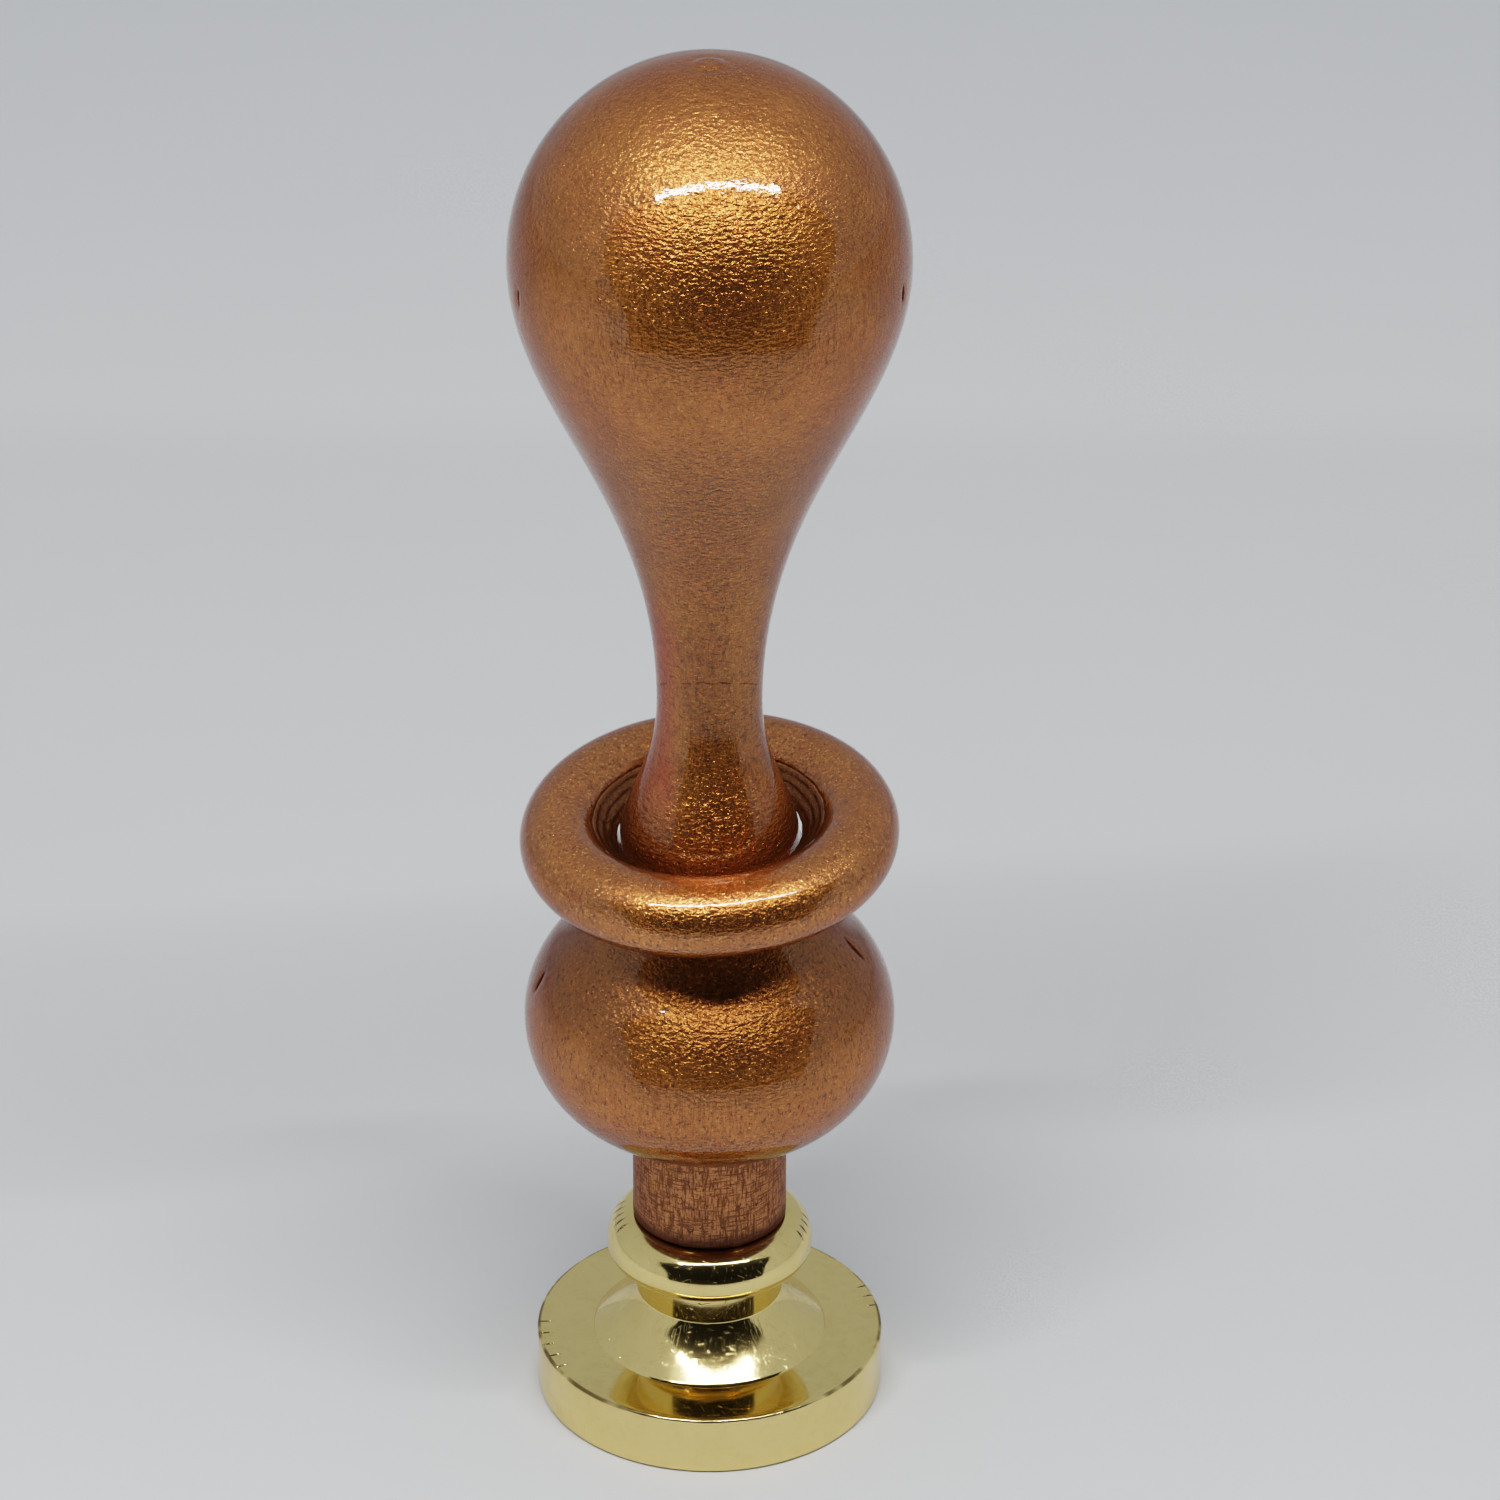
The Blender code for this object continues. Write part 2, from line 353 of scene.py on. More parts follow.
def make_bolt():
    chamfer = 0.5 * MM
    screw_top = bolt_high.z - SCREW_POINT
    outline = joined(
        [(0, bolt_high.z)],
        line((0.05 * MM, bolt_high.z - 0.05 * MM), (SCREW_ROOT, screw_top), 12),
        line((SCREW_ROOT, screw_top), (SCREW_ROOT, HEAD_TOP + 0.6 * MM), 90),
        line((BOLT_ROOT, HEAD_TOP + 0.3 * MM), (BOLT_ROOT, bolt_low.z + chamfer), 96),
        [(BOLT_ROOT - chamfer, bolt_low.z), (0, bolt_low.z)],
    )
    bolt = turned("threaded_hanger_bolt", outline, 72, bolt_relief)
    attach(bolt, "handle")
    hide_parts("hanger_bolt")
    return bolt


# ---------------------------------------------------------------- handle and ring

# Dents where the turned wood was knocked: angle, height, half width, half height, depth.
HANDLE_DENTS = (
    (radians(-69), 87.9 * MM, 0.35 * MM, 0.9 * MM, 0.16 * MM),
    (radians(71), 88.1 * MM, 0.30 * MM, 0.9 * MM, 0.12 * MM),
    (radians(-79), 34.6 * MM, 0.45 * MM, 1.1 * MM, 0.14 * MM),
    (radians(79), 37.0 * MM, 0.40 * MM, 1.5 * MM, 0.12 * MM),
    (radians(-72), 26.6 * MM, 0.50 * MM, 0.8 * MM, 0.10 * MM),
    (radians(160), 84.0 * MM, 0.45 * MM, 0.8 * MM, 0.10 * MM),
    (radians(205), 33.0 * MM, 0.40 * MM, 0.9 * MM, 0.10 * MM),
)


def handle_relief(angle, radius, height):
    """Dents, a nub left by the lathe's centre, and the slight waviness of hand sanding."""
    depth = 0.0
    for at_angle, at_height, half_width, half_height, deep in HANDLE_DENTS:
        depth += deep * dent(angle, height, at_angle, at_height, half_width, half_height, radius)
    where = Vector((radius * sin(angle), -radius * cos(angle), height)) / (7 * MM)
    depth += 0.02 * MM * noise.noise(where)
    rise = 0.0
    if height > GRIP_HEIGHT:
        rise = PIP_HEIGHT * (1 - smooth(0.55 * PIP_RADIUS, PIP_RADIUS, radius))
        rise -= 0.5 * PIP_HEIGHT * (1 - smooth(0, 0.5 * PIP_RADIUS, radius))
        rise -= 0.4 * PIP_HEIGHT * exp(-(((radius - 1.15 * PIP_RADIUS) / (0.22 * PIP_RADIUS)) ** 2))
    if radius < COLLAR_RADIUS - COLLAR_ROUND * 1.2 and height < GRIP_HEIGHT / 3:
        depth = 0.0
    return max(radius - depth, 0.01 * MM), height + rise


def handle_outline():
    grip = (GRIP_RADIUS, GRIP_HEIGHT)
    waist = (WAIST_RADIUS, WAIST_HEIGHT)
    flare = (FLARE_RADIUS, FLARE_HEIGHT)
    collar_angle = -pi / 2 + atan2(COLLAR_RADIUS - BULB_CENTRE[0], BULB_SECTION)
    belly = arc(BULB_CENTRE, BULB_SECTION, BULB_SECTION, BULB_TOP_ANGLE, collar_angle, 64)
    belly[-1] = (COLLAR_RADIUS + 0.12 * MM, belly[-1][1])
    bulb_top = along(belly[0], BULB_TOP_ANGLE, -BULB_PULL)
    foot = (FOOT_RADIUS, FOOT_HEIGHT)
    flare_top = along(flare, FLARE_SLOPE, -FLARE_PULL_UP)
    flare_bottom = along(flare, FLARE_SLOPE, FLARE_PULL_DOWN)
    collar_corner = (COLLAR_RADIUS - COLLAR_ROUND, COLLAR_BOTTOM + COLLAR_ROUND)
    bore = SCREW_RADIUS + 0.05 * MM
    return joined(
        [(0, handle_high.z), (0.12 * MM, handle_high.z)],
        arc((0, GRIP_HEIGHT), GRIP_RADIUS, GRIP_CROWN, pi / 2 - 0.02, 0, 84),
        bezier(grip, along(grip, 0, GRIP_PULL), along(waist, 0, -WAIST_PULL_UP), waist, 84),
        bezier(waist, along(waist, 0, WAIST_PULL_DOWN), flare_top, flare, 34),
        bezier(flare, flare_bottom, along(foot, FOOT_SLOPE, -FOOT_PULL), foot, 12),
        bezier(foot, along(foot, FOOT_SLOPE, FOOT_PULL), bulb_top, belly[0], 18),
        belly,
        line((COLLAR_RADIUS, belly[-1][1] - 0.15 * MM), (COLLAR_RADIUS, COLLAR_BOTTOM + COLLAR_ROUND), 26),
        arc(collar_corner, COLLAR_ROUND, COLLAR_ROUND, 0, -pi / 2, 5),
        line((COLLAR_RADIUS - COLLAR_ROUND, COLLAR_BOTTOM), (bore + 0.2 * MM, COLLAR_BOTTOM), 4),
        line((bore, COLLAR_BOTTOM + 0.2 * MM), (bore, bolt_high.z - SCREW_POINT), 6),
        [(0, bolt_high.z + 0.3 * MM)],
    )


def make_handle():
    handle = turned("turned_handle", handle_outline(), 224, handle_relief)
    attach(handle, "handle")
    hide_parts("handle")
    return handle


def ring_outline():
    """A round section whose inner side is two rough grooved cuts that meet in a ridge."""
    tube = arc((RING_MEAN, 0), RING_SECTION, RING_SECTION, RING_CREASE_ANGLE, -RING_CREASE_ANGLE, 84)
    crease_low, crease_high = tube[-1], tube[0]
    ridge = (RING_RIDGE, 0)
    cuts = line(crease_low, ridge, 22) + line(ridge, crease_high, 22)[1:]
    grooved = []
    for radius, height in cuts:
        share = abs(height) / crease_high[1]
        groove = 0.10 * MM * (0.5 - 0.5 * cos(tau * 3.5 * share)) * (0.35 + 0.65 * share)
        grooved.append((radius + groove, height))
    return joined(tube, grooved[1:-1])


def ring_relief(angle, radius, height):
    where = Vector((radius * sin(angle), -radius * cos(angle), height)) / (5 * MM)
    wave = 0.02 * MM * noise.noise(where + Vector((9, 4, 2)))
    if radius < RING_MEAN - RING_SECTION * 0.8:
        rough = Vector((angle * 9, radius / (0.5 * MM), height / (0.4 * MM)))
        wave += 0.05 * MM * noise.noise(rough) * min(1, 2.5 * abs(sin(angle / 2)))
    return radius + wave, height


def make_ring():
    ring = turned("turned_captive_ring", ring_outline(), 224, ring_relief, closed=True)
    ring.location = (0, 0, RING_HEIGHT)
    ring.rotation_euler = (*RING_TILT, 0)
    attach(ring, "captive_ring")
    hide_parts("captive_ring")
    return ring


# ---------------------------------------------------------------- node helpers

class Nodes:
    """Short calls that add and link the nodes of one material."""

    def __init__(self, name):
        self.material = bpy.data.materials.new(name)
        self.material.use_nodes = True
        self.tree = self.material.node_tree
        self.shader = self.tree.nodes["Principled BSDF"]
        self.place = self.add("ShaderNodeTexCoord").outputs["Object"]

    def add(self, kind, inputs=None, **settings):
        node = self.tree.nodes.new(kind)
        for key, value in settings.items():
            setattr(node, key, value)
        for key, value in (inputs or {}).items():
            self.put(node.inputs[key], value)
        return node

    def put(self, socket, value):
        if isinstance(value, bpy.types.NodeSocket):
            self.tree.links.new(value, socket)
        else:
            socket.default_value = value

    def math(self, operation, a, b=0.0):
        return self.add("ShaderNodeMath", {0: a, 1: b}, operation=operation).outputs[0]

    def times(self, first, *others):
        """The product, worked out from the right: first x (second x third)."""
        product = others[-1]
        for factor in (*others[-2::-1], first):
            product = self.math("MULTIPLY", factor, product)
        return product

    def radius(self, x, y):
        """Distance from the stamp's axis."""
        return self.math("SQRT", self.math("ADD", self.times(x, x), self.times(y, y)))

    def vector(self, operation, a, b=(0, 0, 0)):
        node = self.add("ShaderNodeVectorMath", {0: a, 1: b}, operation=operation)
        return node.outputs["Value" if operation in ("LENGTH", "DISTANCE", "DOT_PRODUCT") else "Vector"]

    def split(self, vector):
        return self.add("ShaderNodeSeparateXYZ", {0: vector}).outputs

    def join(self, x, y, z):
        return self.add("ShaderNodeCombineXYZ", {0: x, 1: y, 2: z}).outputs[0]

    def noise(self, size, stretch=(1, 1, 1), detail=2.0, roughness=0.5, offset=(0, 0, 0), place=None):
        """Noise, about 0.5, whose features are about size across, longer along an axis stretched above 1."""
        scale = tuple(1 / (size * s) for s in stretch)
        moved = self.vector("ADD", self.vector("MULTIPLY", place or self.place, scale), offset)
        return self.raw_noise(moved, detail, roughness)

    def raw_noise(self, vector, detail, roughness=0.5):
        settings = {"Vector": vector, "Scale": 1.0, "Detail": detail, "Roughness": roughness}
        return self.add("ShaderNodeTexNoise", settings).outputs["Fac"]

    def ramp(self, value, low, high, to_low=0.0, to_high=1.0):
        """A smooth change from to_low to to_high as the value goes from low to high."""
        node = self.add("ShaderNodeMapRange", interpolation_type="SMOOTHSTEP", clamp=True)
        for key, number in enumerate((value, low, high, to_low, to_high)):
            self.put(node.inputs[key], number)
        return node.outputs[0]

    def mix(self, share, a, b, blend="MIX"):
        node = self.add("ShaderNodeMix", data_type="RGBA", blend_type=blend)
        self.put(node.inputs[0], share)
        self.put(node.inputs[6], a if isinstance(a, bpy.types.NodeSocket) else (*a, 1))
        self.put(node.inputs[7], b if isinstance(b, bpy.types.NodeSocket) else (*b, 1))
        return node.outputs[2]

    def bump(self, height, distance, normal=None):
        node = self.add("ShaderNodeBump", {"Height": height, "Distance": distance, "Strength": 1.0})
        if normal is not None:
            self.put(node.inputs["Normal"], normal)
        return node.outputs["Normal"]

    def shade(self, **inputs):
        for key, value in inputs.items():
            self.put(self.shader.inputs[key.replace("_", " ").title().replace("Ior", "IOR")], value)

    def spot(self, at, axes, turn):
        """1 in the middle of a soft ellipsoid with those half axes, and 0 outside it."""
        moved = self.add(
            "ShaderNodeMapping",
            {"Vector": self.place, "Location": at, "Rotation": (0, 0, turn), "Scale": axes},
            vector_type="TEXTURE",
        ).outputs[0]
        return self.ramp(self.vector("LENGTH", moved), 1.0, 0.3)


def round_the_front(azimuth, distance, height):
    """A point at a distance from the axis, from its angle round from the front."""
    return (distance * sin(azimuth), -distance * cos(azimuth), height)


# ---------------------------------------------------------------- copper lacquer

COPPER = (0.53, 0.20, 0.053)
COPPER_SHADE = 0.82
COPPER_GOLD = (0.90, 0.50, 0.16)
COPPER_BROWN = (0.31, 0.102, 0.028)
COPPER_RED = (0.47, 0.15, 0.05)
COPPER_EDGE = (0.40, 0.18, 0.065)
PORE_AND_SHADE = (0.10, 0.03, 0.012)
CUT_WOOD = (0.14, 0.06, 0.025)
COLLAR_WOOD = (0.62, 0.30, 0.15)
ROSE_REFLECTION = (0.50, 0.10, 0.07)
WAIST_TINT = (0.84, 0.93, 0.92)
BLACK = (0, 0, 0)

# Heights on the handle between which a mark grows from nothing to full.
DRY_COLLAR = (25.5 * MM, 20.5 * MM)
UNDERSIDE_SHADE_TOP = (26.0 * MM, 23.8 * MM)
UNDERSIDE_SHADE_FOOT = (21.9 * MM, 22.5 * MM)
COLLAR_FOOT_SHADE = (COLLAR_BOTTOM + 1.5 * MM, COLLAR_BOTTOM + 0.4 * MM)
LOW_BULB = (31 * MM, 24 * MM)
BELOW_WAIST = (52 * MM, 42 * MM)
WAIST_FOOT = (49 * MM, 55 * MM)
WAIST_TOP = (86 * MM, 73 * MM)
BLOT_FOOT = (46 * MM, 49 * MM)
BLOT_TOP = (74 * MM, 56 * MM)
REFLECTION_FOOT = (47 * MM, 51 * MM)
REFLECTION_TOP = (68 * MM, 60 * MM)
BULB_SHADE_FOOT = (31 * MM, 36 * MM)
BULB_SHADE_TOP = (46 * MM, 43 * MM)
FLARE_SHADE_FOOT = (42.5 * MM, 43.5 * MM)
FLARE_SHADE_TOP = (50 * MM, 47 * MM)

# The painted rose reflection lies on the left of the waist, and the ring's rough cut on its inner side.
REFLECTION_SIDE = (-1.9 * MM, -3.0 * MM)
RING_CUT = (8.15 * MM, 7.85 * MM)

HAIRLINE_HEIGHT = 56.9 * MM
HAIRLINE_TILT = radians(29)
HAIRLINE_WANDER = 0.5 * MM
HAIRLINE_EDGE = (0.07 * MM, 0.02 * MM)


def coat_colour(n, glint, lines, on_stem):
    """Slow mottling, a fine cloud, bright flakes, and lines of the wood's grain that fade in and out."""
    mottle = n.ramp(n.noise(3.2 * MM, detail=3), 0.3, 0.7)
    colour = n.mix(mottle, COPPER, tuple(COPPER_SHADE * c for c in COPPER))
    red = n.ramp(n.noise(4.2 * MM, detail=2, offset=(5, 2, 9)), 0.46, 0.66, 0, 0.4)
    colour = n.mix(red, colour, COPPER_RED)
    cloud = n.noise(0.55 * MM, stretch=(1, 1, 1.6), detail=3, roughness=0.65)
    colour = n.mix(n.ramp(cloud, 0.42, 0.72, 0, 0.35 if on_stem else 0.7), colour, COPPER_BROWN)
    colour = n.mix(n.times(glint, 0.33 if on_stem else 0.75), colour, COPPER_GOLD)
    grown = n.ramp(n.noise(5 * MM, detail=1, offset=(7, 1, 5)), 0.40, 0.62)
    return n.mix(n.times(n.ramp(lines, 0.46, 0.60), grown, 0.6), colour, COPPER_BROWN)


def open_pores(n, z, dry, on_stem):
    """Dark dashes along the grain in patches, and specks. The collar's dry wood is rough all over."""
    grain = n.noise(0.13 * MM, stretch=(1, 1, 7), detail=2, roughness=0.6)
    patch = n.noise(4.5 * MM, stretch=(1, 1, 1.5), detail=1, offset=(3, 7, 1))
    pores = n.times(n.ramp(grain, 0.60, 0.72), n.ramp(patch, 0.42, 0.62))
    speck = n.noise(0.26 * MM, stretch=(1, 1, 1.5), detail=2, roughness=0.6, offset=(8, 2, 6))
    speck = n.ramp(speck, 0.58, 0.67)
    if not on_stem:
        return n.math("MAXIMUM", pores, n.times(speck, 0.8))
    speckled = n.math("ADD", n.ramp(z, *LOW_BULB, 0, 0.3), n.ramp(z, *BELOW_WAIST, 0.4, 0.8))
    pores = n.math("MAXIMUM", pores, n.times(speck, speckled))
    end_grain = n.noise(0.14 * MM, stretch=(1, 1, 9), detail=3, roughness=0.7, offset=(5, 1, 3))
    hatch = n.noise(0.16 * MM, stretch=(7, 7, 0.8), detail=2, offset=(1, 9, 4))
    rough = n.math("MAXIMUM", n.ramp(end_grain, 0.48, 0.58), n.times(n.ramp(hatch, 0.52, 0.62), 0.9))
    return n.math("MAXIMUM", pores, n.times(rough, dry))


def handle_zones(n, x, z, colour, dry):
    """A browner waist with blots and a painted rose reflection down its left, and a dry collar with painted
    shade at both its ends.
    """
    waist = n.times(n.ramp(z, *WAIST_FOOT), n.ramp(z, *WAIST_TOP))
    colour = n.mix(waist, colour, WAIST_TINT, "MULTIPLY")
    blot = n.noise(0.42 * MM, stretch=(1, 1, 2.0), detail=2, roughness=0.6, offset=(3, 8, 5))
    blot = n.times(n.ramp(blot, 0.54, 0.68), n.ramp(z, *BLOT_FOOT), n.ramp(z, *BLOT_TOP))
    colour = n.mix(n.times(blot, 0.55), colour, CUT_WOOD)
    # Painted reflection: a rose band down the left of the waist, standing in for the lamps' reflection
    # there.
    rose_reflection = n.times(n.ramp(x, *REFLECTION_SIDE), n.ramp(z, *REFLECTION_FOOT), n.ramp(z, *REFLECTION_TOP))
    colour = n.mix(n.times(rose_reflection, 0.45), colour, ROSE_REFLECTION)
    colour = n.mix(n.times(dry, 0.7), colour, COLLAR_WOOD)
    # Painted shade: darker where the collar sits on the bead, and under the bulb where it meets the collar.
    collar_foot_shade = n.ramp(z, *COLLAR_FOOT_SHADE, 0, 0.9)
    underside_shade = n.times(n.ramp(z, *UNDERSIDE_SHADE_TOP), n.ramp(z, *UNDERSIDE_SHADE_FOOT, 0, 0.9))
    return n.mix(n.math("MAXIMUM", collar_foot_shade, underside_shade), colour, PORE_AND_SHADE)


def handle_scars(n):
    """Dark marks in the handle's dents."""
    scars = None
    for at_angle, at_height, half_width, half_height, _ in HANDLE_DENTS:
        off_centre = at_height - BULB_CENTRE[1]
        bulb_radius = BULB_CENTRE[0] + (BULB_SECTION**2 - min(off_centre**2, 0.9 * BULB_SECTION**2)) ** 0.5
        radius = 0.985 * (GRIP_RADIUS if at_height > WAIST_HEIGHT else bulb_radius)
        at = round_the_front(at_angle, radius, at_height)
        spot = n.spot(at, (half_width * 0.8, 1.6 * MM, half_height), at_angle)
        scars = spot if scars is None else n.math("MAXIMUM", scars, spot)
    return scars


def waist_hairline(n, y, z):
    """A thin broken line round the waist, tilted, and wandering a little."""
    tilted = n.math("ADD", z, n.times(y, tan(HAIRLINE_TILT)))
    wander = n.times(n.math("SUBTRACT", n.noise(0.8 * MM, offset=(6, 6, 6)), 0.5), HAIRLINE_WANDER)
    off_line = n.math("ABSOLUTE", n.math("SUBTRACT", n.math("ADD", tilted, wander), HAIRLINE_HEIGHT))
    gaps = n.ramp(n.noise(0.7 * MM, offset=(1, 2, 9)), 0.40, 0.52)
    return n.times(n.ramp(off_line, *HAIRLINE_EDGE), gaps)


def copper_lacquer(name, on_stem):
    """Metallic copper paint on turned wood under clear lacquer, with flakes, open pores and mottling."""
    n = Nodes(name)
    x, y, z = n.split(n.place)
    dry = n.ramp(z, *DRY_COLLAR) if on_stem else None
    flake = n.noise((0.16 if on_stem else 0.21) * MM, detail=2, roughness=0.7)
    glint = n.ramp(flake, 0.52, 0.72)
    lines = n.noise(0.15 * MM, stretch=(1, 1, 22), detail=2, roughness=0.6, offset=(4, 9, 2))
    pores = open_pores(n, z, dry, on_stem)
    colour = coat_colour(n, glint, lines, on_stem)
    if on_stem:
        colour = handle_zones(n, x, z, colour, dry)
    colour = n.mix(n.times(pores, 0.8), colour, PORE_AND_SHADE)

    # The base layer is rough at the size of a flake; the lacquer over it only ripples.
    ripple = n.noise(0.215 * MM, stretch=(1.9, 1.9, 0.95), detail=1.5, roughness=0.55, offset=(2, 5, 8))
    normal = n.bump(ripple, (0.125 if on_stem else 0.075) * MM)
    normal = n.bump(lines, 0.03 * MM, normal)
    normal = n.bump(flake, 0.03 * MM, normal)
    normal = n.bump(pores, -0.03 * MM, normal)
    coat = n.bump(n.noise(0.9 * MM, detail=2, roughness=0.5, offset=(4, 4, 4)), 0.014 * MM)
    coat = n.bump(ripple, 0.006 * MM, coat)
    roughness = n.ramp(glint, 0, 1, 0.29 if on_stem else 0.27, 0.20)

    if on_stem:
        # Painted by height, all the way round: the photograph is darker here than this studio lights it.
        shaded = n.times(n.ramp(z, *BULB_SHADE_TOP), n.ramp(z, *BULB_SHADE_FOOT))
        colour = n.mix(n.times(shaded, 0.38), colour, BLACK)
        flare = n.times(n.ramp(z, *FLARE_SHADE_TOP), n.ramp(z, *FLARE_SHADE_FOOT))
        colour = n.mix(n.times(flare, 0.30), colour, BLACK)
        roughness = n.math("ADD", roughness, n.times(shaded, 0.03))

        # The dry collar has lost most of its lacquer, and the scars all of theirs.
        roughness = n.math("ADD", roughness, n.times(dry, 0.12))
        scars = handle_scars(n)
        colour = n.mix(n.times(scars, 0.9), colour, PORE_AND_SHADE)
        coat_weight = n.times(n.ramp(dry, 0, 1, 1.0, 0.35), n.ramp(scars, 0, 0.7, 1, 0))
        hairline = waist_hairline(n, y, z)
        colour = n.mix(n.times(hairline, 0.8), colour, PORE_AND_SHADE)
        coat = n.bump(hairline, -0.05 * MM, coat)
    else:
        # The rough cuts inside the ring are darker and duller.
        cut = n.ramp(n.radius(x, y), *RING_CUT)
        colour = n.mix(n.times(cut, 0.8), colour, CUT_WOOD)
        coat_weight = n.ramp(cut, 0, 1, 1.0, 0.3)
        roughness = n.math("ADD", roughness, n.times(cut, 0.12))
    n.shade(
        base_color=colour,
        metallic=0.92,
        roughness=roughness,
        normal=normal,
        specular_tint=(*COPPER_EDGE, 1),
        coat_weight=coat_weight,
        coat_roughness=0.06 if on_stem else 0.09,
        coat_ior=1.45 if on_stem else 1.52,
        coat_normal=coat,
    )
    return n.material


# ---------------------------------------------------------------- brass and steel

BRASS = (0.80, 0.645, 0.285)
BRASS_WARM = (0.76, 0.585, 0.24)
TARNISH = (0.30, 0.19, 0.07)
NICK = (0.10, 0.06, 0.025)
ZINC = (0.62, 0.62, 0.63)
ZINC_DULL = (0.45, 0.46, 0.49)


# Nicks in the brass: angle, radius, height, half length and half width.
LEFT_RIM = DISC_RADIUS - 0.5 * MM
RIGHT_RIM = DISC_RADIUS - 0.4 * MM
BRASS_NICKS = tuple(
    [(radians(-90 + 7 * i), LEFT_RIM, DISC_TOP, (0.9 - 0.08 * i) * MM, 0.10 * MM) for i in range(5)]
    + [(radians(112 - 6 * i), RIGHT_RIM, DISC_TOP, 0.6 * MM, 0.09 * MM) for i in range(3)]
    + [(radians(-74 - 7 * i), 6.5 * MM, 13.7 * MM, 1.4 * MM, 0.14 * MM) for i in range(5)]
    + [(radians(71 + 7 * i), 6.8 * MM, 13.4 * MM, 1.2 * MM, 0.14 * MM) for i in range(4)]
)


def polished_brass():
    """Pale polished brass with turning marks round its axis, smudges, hairline scratches and rim nicks."""
    n = Nodes("polished_brass")
    x, y, z = n.split(n.place)
    radius = n.radius(x, y)
    round_about = n.join(n.math("DIVIDE", x, radius), n.math("DIVIDE", y, radius), 0.0)

    # Turning marks vary quickly along the outline and slowly round it.
    across = n.math("ADD", n.times(radius, 1 / (0.055 * MM)), n.times(z, 1 / (0.07 * MM)))
    slow = n.vector("MULTIPLY", round_about, (0.9, 0.9, 0))
    slow_x, slow_y, _ = n.split(slow)
    marks = n.raw_noise(n.join(slow_x, slow_y, across), 2.0)

    smudge = n.noise(2.6 * MM, detail=4, roughness=0.6)
    film = n.ramp(n.noise(0.8 * MM, detail=3, roughness=0.7, offset=(3, 3, 1)), 0.45, 0.75)
    colour = n.mix(n.ramp(smudge, 0.4, 0.75, 0, 0.6), BRASS, BRASS_WARM)
    colour = n.mix(n.times(film, 0.10), colour, TARNISH)

    # Short scratches in two directions.
    scratch = n.noise(0.07 * MM, stretch=(14, 1, 6), detail=1, offset=(2, 2, 2))
    turned_place = n.add(
        "ShaderNodeMapping", {"Vector": n.place, "Rotation": (0.3, 0.2, 1.1)}, vector_type="POINT"
    ).outputs[0]
    cross = n.noise(0.07 * MM, stretch=(12, 1, 5), detail=1, offset=(7, 3, 5), place=turned_place)
    scratches = n.math("MAXIMUM", n.ramp(scratch, 0.68, 0.74), n.ramp(cross, 0.69, 0.75))

    # Nicks on the rim, at the left and right, and worn marks on the bead.
    nicks = None
    for angle, at_radius, height, long, wide in BRASS_NICKS:
        spot = n.spot(round_the_front(angle, at_radius, height), (wide, long, 0.5 * MM), angle)
        nicks = spot if nicks is None else n.math("MAXIMUM", nicks, spot)
    ragged = n.ramp(n.noise(0.25 * MM, detail=2, offset=(9, 9, 9)), 0.25, 0.45)
    nicks = n.times(nicks, ragged)
    colour = n.mix(n.times(nicks, 0.95), colour, NICK)

    # A dark line in patches round the disc's top edge, and scuffs down the bell.
    near_rim = n.ramp(radius, DISC_RADIUS - 0.3 * MM, DISC_RADIUS - 0.15 * MM)
    near_top = n.ramp(z, DISC_TOP - 0.25 * MM, DISC_TOP - 0.14 * MM)
    rim_patches = n.ramp(n.noise(2.5 * MM, detail=2, offset=(1, 4, 7)), 0.38, 0.58)
    edge = n.times(n.times(near_rim, near_top), rim_patches)
    colour = n.mix(n.times(edge, 0.8), colour, NICK)
    off_disc = n.ramp(radius, BELL_RADIUS - 0.1 * MM, BELL_RADIUS - 0.9 * MM)
    below_neck = n.ramp(z, NECK_BOTTOM + 0.2 * MM, NECK_BOTTOM - 0.4 * MM)
    patchy = n.ramp(n.noise(1.1 * MM, detail=2, offset=(6, 1, 8)), 0.42, 0.6)
    on_bell = n.times(n.times(off_disc, below_neck), patchy)
    round_x, round_y, _ = n.split(n.vector("MULTIPLY", round_about, (60, 60, 0)))
    scuff = n.raw_noise(n.join(round_x, round_y, n.times(z, 1 / (1.3 * MM))), 3.0)
    scuffs = n.times(on_bell, n.ramp(scuff, 0.52, 0.68))

    normal = n.bump(marks, 0.0006 * MM)
    normal = n.bump(scuffs, -0.004 * MM, normal)
    normal = n.bump(n.noise(1.4 * MM, detail=2), 0.004 * MM, normal)
    normal = n.bump(scratches, -0.005 * MM, normal)
    normal = n.bump(nicks, -0.08 * MM, normal)
    roughness = n.ramp(smudge, 0.3, 0.75, 0.07, 0.13)
    roughness = n.math("ADD", roughness, n.times(scratches, 0.08))
    roughness = n.math("ADD", roughness, n.times(nicks, 0.25))
    roughness = n.math("ADD", roughness, n.times(scuffs, 0.12))
    n.shade(base_color=colour, metallic=1.0, roughness=roughness, normal=normal)
    return n.material


def zinc_plate():
    """Bright zinc plating with fine streaks and dull patches."""
    n = Nodes("zinc_plated_steel")
    streaks = n.noise(0.05 * MM, stretch=(6, 6, 1), detail=2)
    patches = n.noise(1.6 * MM, detail=3, offset=(2, 8, 5))
    colour = n.mix(n.ramp(patches, 0.35, 0.7), ZINC, ZINC_DULL)
    normal = n.bump(streaks, 0.002 * MM)
    n.shade(base_color=colour, metallic=1.0, roughness=n.ramp(patches, 0.3, 0.7, 0.24, 0.42), normal=normal)
    return n.material


# ---------------------------------------------------------------- studio

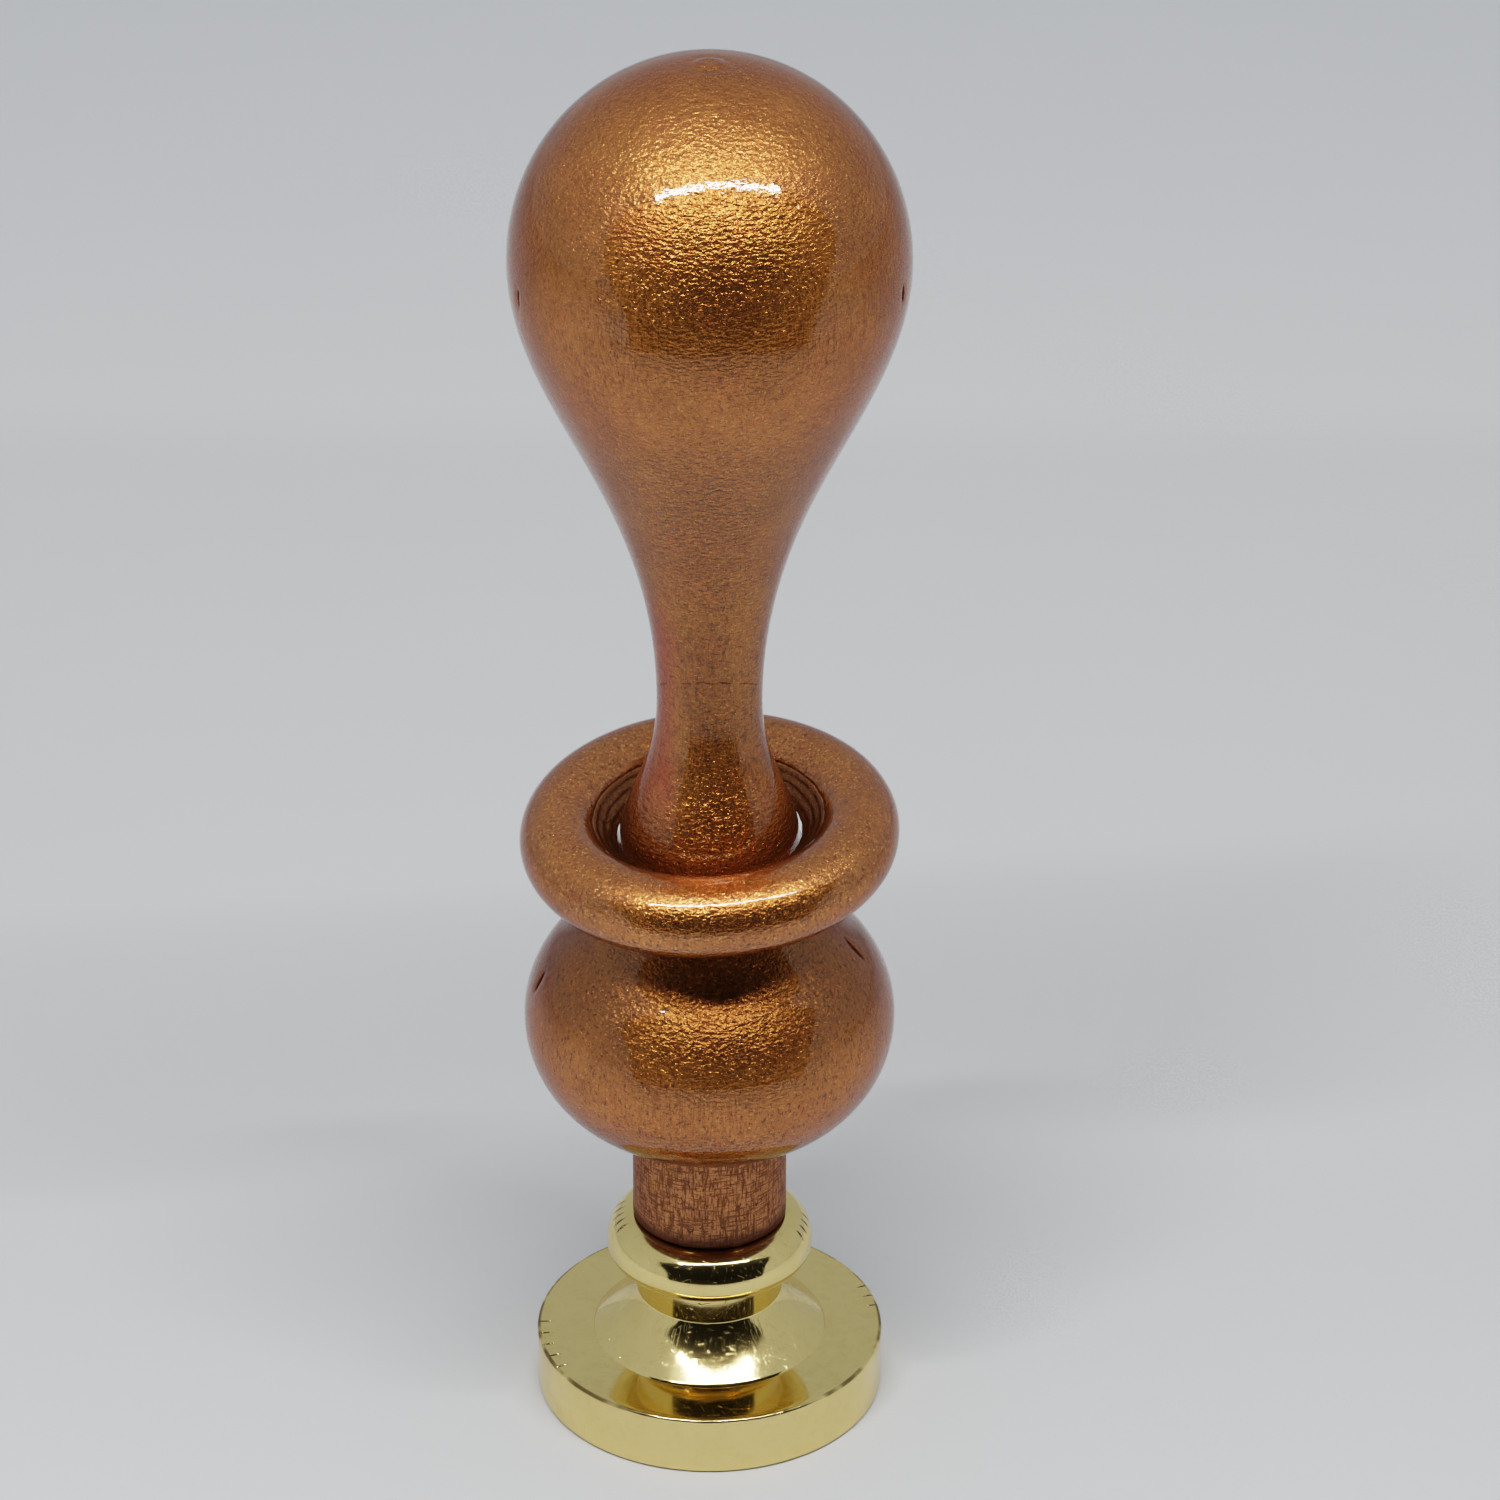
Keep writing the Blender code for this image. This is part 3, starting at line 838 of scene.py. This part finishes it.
def card(name, rows, material):
    """A sheet through rows of points."""
    width = len(rows[0])
    verts = [point for row in rows for point in row]
    faces = [
        (r * width + c, r * width + c + 1, (r + 1) * width + c + 1, (r + 1) * width + c)
        for r in range(len(rows) - 1)
        for c in range(width - 1)
    ]
    mesh = bpy.data.meshes.new(name)
    mesh.from_pydata(verts, [], faces)
    obj = bpy.data.objects.new(name, mesh)
    obj.data.materials.append(material)
    bpy.context.scene.collection.objects.link(obj)
    return obj


def dark_inside(name, colour):
    """A dark surface on the side that faces the object, and nothing at all on the other."""
    n = Nodes(name)
    facing_object = n.add("ShaderNodeNewGeometry").outputs["Backfacing"]
    n.shade(base_color=(*colour, 1), roughness=0.9, specular_ior_level=0.1, alpha=facing_object)
    return n.material


def glowing(name, colour, strength):
    n = Nodes(name)
    n.shade(base_color=(0, 0, 0, 1), emission_color=(*colour, 1), emission_strength=strength)
    return n.material


def bar_distance(azimuth):
    """Distance from the axis to the straight lamp bar, along an azimuth."""
    return min(BAR_DISTANCE / cos(azimuth - OPENING_AZIMUTH), 3 * BAR_DISTANCE)


def make_opening():
    """The tent's open front: dark, narrow at the floor and wide at the top.

    The camera doesn't see it, but it shows in reflections and takes light from the floor.
    """
    # Height, distance, and the azimuths of the left and right edges.
    edges = (
        (0 * MM, FLOOR_EDGE, radians(-43), radians(56)),
        (47 * MM, 195 * MM, radians(-45), radians(60)),
        (77 * MM, 190 * MM, radians(-49), radians(64)),
        (109 * MM, 185 * MM, radians(-59), radians(73)),
        (145 * MM, 180 * MM, radians(-63), radians(79)),
    )
    columns = 48
    shares = [i / columns for i in range(columns + 1)]
    rows = [
        [round_the_front(left + (right - left) * share, distance, height) for share in shares]
        for height, distance, left, right in edges
    ]
    left, right = edges[-1][2:]
    azimuths = [left + (right - left) * share for share in shares]
    rows.append([round_the_front(a, bar_distance(a), BAR_HEIGHT - LAMP_HEIGHT / 2) for a in azimuths])
    opening = card("tent_opening", rows, dark_inside("dark_room", DARK_ROOM))
    opening.visible_camera = False
    return opening


def make_lamp_bar():
    """A row of small lamps along the top of the opening."""
    aim = Vector((0, 0, 60 * MM))
    along_bar = Vector((cos(OPENING_AZIMUTH), sin(OPENING_AZIMUTH), 0))
    middle = Vector(round_the_front(OPENING_AZIMUTH, BAR_DISTANCE, BAR_HEIGHT))
    across = along_bar * LAMP_WIDTH / 2
    verts, faces = [], []
    for i in range(LAMPS):
        share = 2 * (i + 0.5) / LAMPS - 1
        centre = middle + along_bar * BAR_HALF_LENGTH * share
        tall = LAMP_HEIGHT * (1 - LAMP_LEAN * share + LAMP_SPREAD * share**2)
        up = across.cross(aim - middle).normalized() * tall / 2
        start = len(verts)
        verts += [centre - across - up, centre + across - up, centre + across + up, centre - across + up]
        faces.append((start, start + 1, start + 2, start + 3))
    mesh = bpy.data.meshes.new("lamp_bar")
    mesh.from_pydata(verts, [], faces)
    bar = bpy.data.objects.new("lamp_bar", mesh)
    bar.data.materials.append(glowing("lamp_glow", LAMP_COLOUR, LAMP_STRENGTH))
    bpy.context.scene.collection.objects.link(bar)
    bar.visible_camera = False
    return bar


def make_floor():
    """Paper just below the object. Its colour changes with distance, to match the photograph's tones:
    painted light towards the camera and far behind, painted shade behind the object.
    """
    n = Nodes("pale_paper")
    _, y, _ = n.split(n.place)
    # Painted light and shade: lighter towards the camera, darkest from under the object to 150 mm behind it,
    # and a little lighter beyond.
    tint = n.mix(n.ramp(y, *NEAR_PLACES), PAPER, PAPER_LIT_NEAR)
    tint = n.mix(n.ramp(y, *FAR_PLACES), tint, PAPER_LIT_FAR)
    blotch = n.noise(30 * MM, detail=2)
    colour = n.mix(n.ramp(blotch, 0.3, 0.7, 0, 0.03), tint, PAPER_BLOTCH)
    grain = n.bump(n.noise(0.6 * MM, detail=3), 0.02 * MM)
    n.shade(base_color=colour, roughness=0.85, specular_ior_level=0.15, normal=grain)
    ends = (-FLOOR_REACH, FLOOR_REACH)
    rows = [[(x, y, FLOOR_HEIGHT) for x in ends] for y in ends]
    return card("floor", rows, n.material)


def make_world():
    world = bpy.data.worlds.new("pale_tent")
    world.use_nodes = True
    tree = world.node_tree
    background = tree.nodes["Background"]
    background.inputs["Color"].default_value = (*TENT_COLOUR, 1)
    axes = tree.nodes.new("ShaderNodeSeparateXYZ")
    tree.links.new(tree.nodes.new("ShaderNodeTexCoord").outputs["Generated"], axes.inputs[0])
    fade = tree.nodes.new("ShaderNodeMapRange")
    tree.links.new(axes.outputs["Y"], fade.inputs["Value"])
    for key, value in zip(("From Min", "From Max", "To Min", "To Max"), TENT_FADE):
        fade.inputs[key].default_value = value * (TENT_BRIGHTNESS if key.startswith("To") else 1)
    tree.links.new(fade.outputs[0], background.inputs["Strength"])
    bpy.context.scene.world = world


def make_camera():
    camera = bpy.data.objects.new("camera", bpy.data.cameras.new("camera"))
    camera.data.lens = CAMERA_LENS
    camera.data.sensor_width = 36
    camera.data.shift_x = CAMERA_SHIFT
    camera.data.clip_start = 0.01
    camera.location = CAMERA_PLACE
    camera.rotation_euler = (radians(90 - CAMERA_DIP), 0, 0)
    bpy.context.scene.collection.objects.link(camera)
    bpy.context.scene.camera = camera


def set_response():
    """A camera's contrast: shadows deepen, and highlights roll off before they clip."""
    settings = bpy.context.scene.view_settings
    settings.view_transform = "Standard"
    settings.use_curve_mapping = True
    mapping = settings.curve_mapping
    mapping.white_level = (RESPONSE_WHITE, RESPONSE_WHITE, RESPONSE_WHITE)
    mapping.extend = "HORIZONTAL"
    curve = mapping.curves[3]
    for brightness in RESPONSE_POINTS:
        power = brightness**RESPONSE_CONTRAST
        level = RESPONSE_PEAK * power / (power + RESPONSE_MIDDLE**RESPONSE_CONTRAST)
        curve.points.new(brightness / RESPONSE_WHITE, level)
    mapping.update()


make_camera()
make_world()
make_floor()
make_opening()
make_lamp_bar()
set_response()

make_handle().data.materials.append(copper_lacquer("copper_lacquer_handle", on_stem=True))
make_ring().data.materials.append(copper_lacquer("copper_lacquer_ring", on_stem=False))
make_seal_head().data.materials.append(polished_brass())
make_bolt().data.materials.append(zinc_plate())
